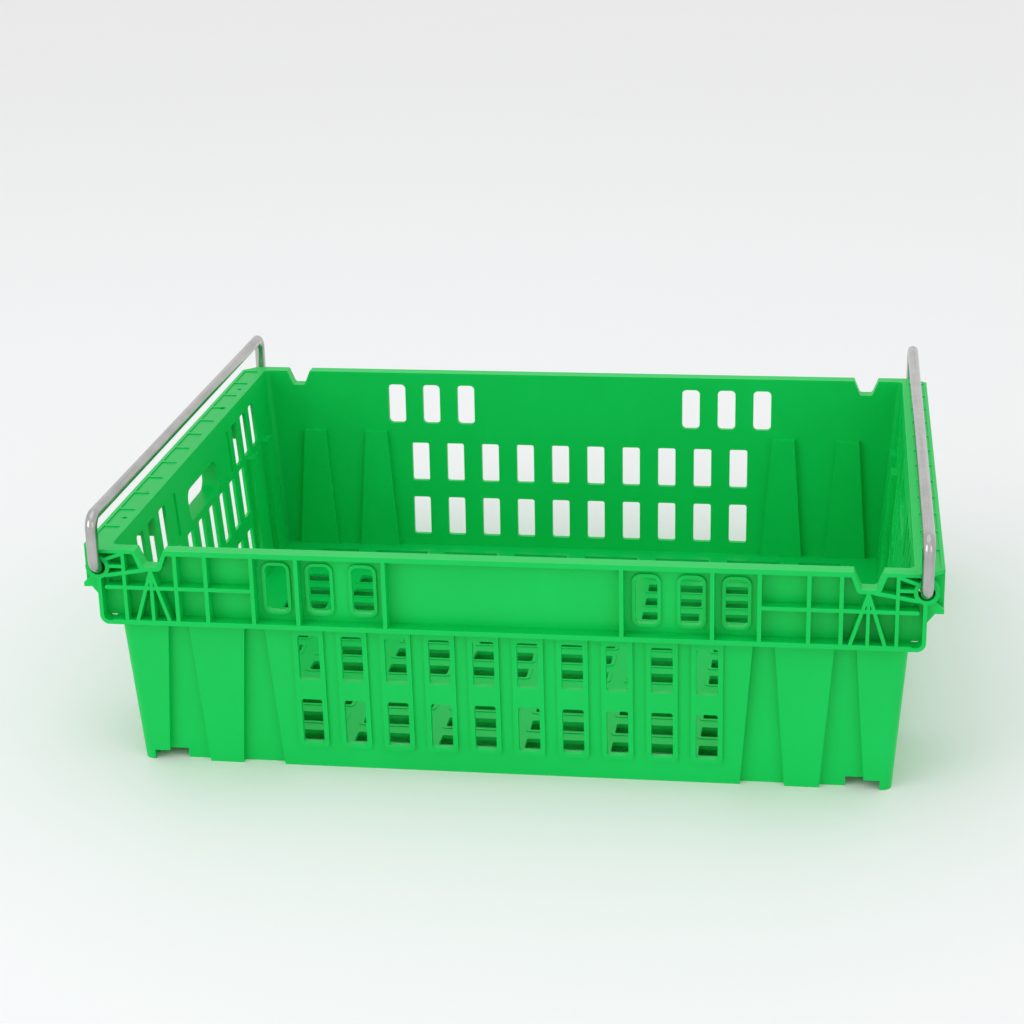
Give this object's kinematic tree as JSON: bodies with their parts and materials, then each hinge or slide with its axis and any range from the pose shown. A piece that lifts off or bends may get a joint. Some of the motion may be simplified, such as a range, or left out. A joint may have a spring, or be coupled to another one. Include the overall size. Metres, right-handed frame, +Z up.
{
  "type": "stacking plastic crate",
  "caption": "Open stack-and-nest produce crate with perforated corrugated walls, slotted floor, end hand holes and swinging steel bale arms",
  "frame": {"origin": "centre of the crate's length and width, on the plane its base stands on", "axes": "+X along the long sides, +Y from front to rear, +Z up"},
  "size_m": [0.628, 0.508, 0.207],
  "materials": {
    "tub_plastic": "bright green semi-gloss moulded polyolefin",
    "arm_steel": "satin zinc-plated steel rod"
  },
  "bodies": {
    "tub": {"floor_grid": "tub_plastic", "front_lower_wall": "tub_plastic", "rear_lower_wall": "tub_plastic", "front_rim_band": "tub_plastic", "rear_rim_band": "tub_plastic", "left_end_wall": "tub_plastic", "right_end_wall": "tub_plastic", "left_end_rim": "tub_plastic", "right_end_rim": "tub_plastic", "front_left_pivot_boss": "tub_plastic", "rear_left_pivot_boss": "tub_plastic", "front_right_pivot_boss": "tub_plastic", "rear_right_pivot_boss": "tub_plastic"},
    "left_arm": {"left_bale_arm": "arm_steel"},
    "right_arm": {"right_bale_arm": "arm_steel"}
  },
  "joints": [
    {"name": "left_arm_hinge", "type": "hinge", "parent": "tub", "child": "left_arm", "pos_m": [-0.3013, 0, 0.162], "axis": [0, 1, 0], "range_deg": [-170, 82]},
    {"name": "right_arm_hinge", "type": "hinge", "parent": "tub", "child": "right_arm", "pos_m": [0.3013, 0, 0.162], "axis": [0, -1, 0], "range_deg": [-170, 82]}
  ]
}
